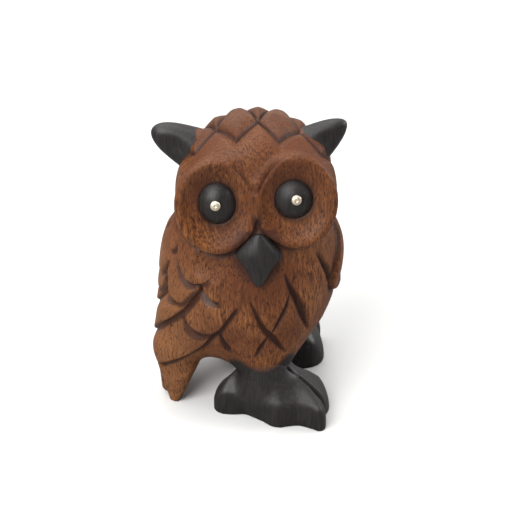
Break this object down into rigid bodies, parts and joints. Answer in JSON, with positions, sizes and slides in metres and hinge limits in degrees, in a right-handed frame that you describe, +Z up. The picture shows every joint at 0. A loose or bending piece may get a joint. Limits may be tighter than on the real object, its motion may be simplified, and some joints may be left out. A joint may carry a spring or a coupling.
{
  "type": "carved wooden owl figurine",
  "caption": "Carved hardwood owl with relief feathers, a turned head, black ear tufts, eyes, beak and feet, and brass eye pins, standing on its feet and tail.",
  "frame": {"origin": "on the floor, under the middle of the bounding box", "axes": "+Z up; the body faces +X and the turned head looks along -Y"},
  "size_m": [0.0622, 0.0602, 0.1001],
  "materials": {
    "brown_wood": "waxed, satin",
    "black_stained_wood": "black stained, satin",
    "brass": "bright",
    "pale_wood": "bare"
  },
  "bodies": {
    "root": {"carved_block": "brown_wood", "right_ear_tuft": "black_stained_wood", "left_ear_tuft": "black_stained_wood", "right_eye": "black_stained_wood", "left_eye": "black_stained_wood", "right_eye_pin": "brass", "left_eye_pin": "brass", "beak": "black_stained_wood", "right_foot": "black_stained_wood", "left_foot": "black_stained_wood", "right_leg_dowel": "pale_wood", "left_leg_dowel": "pale_wood"}
  },
  "joints": []
}
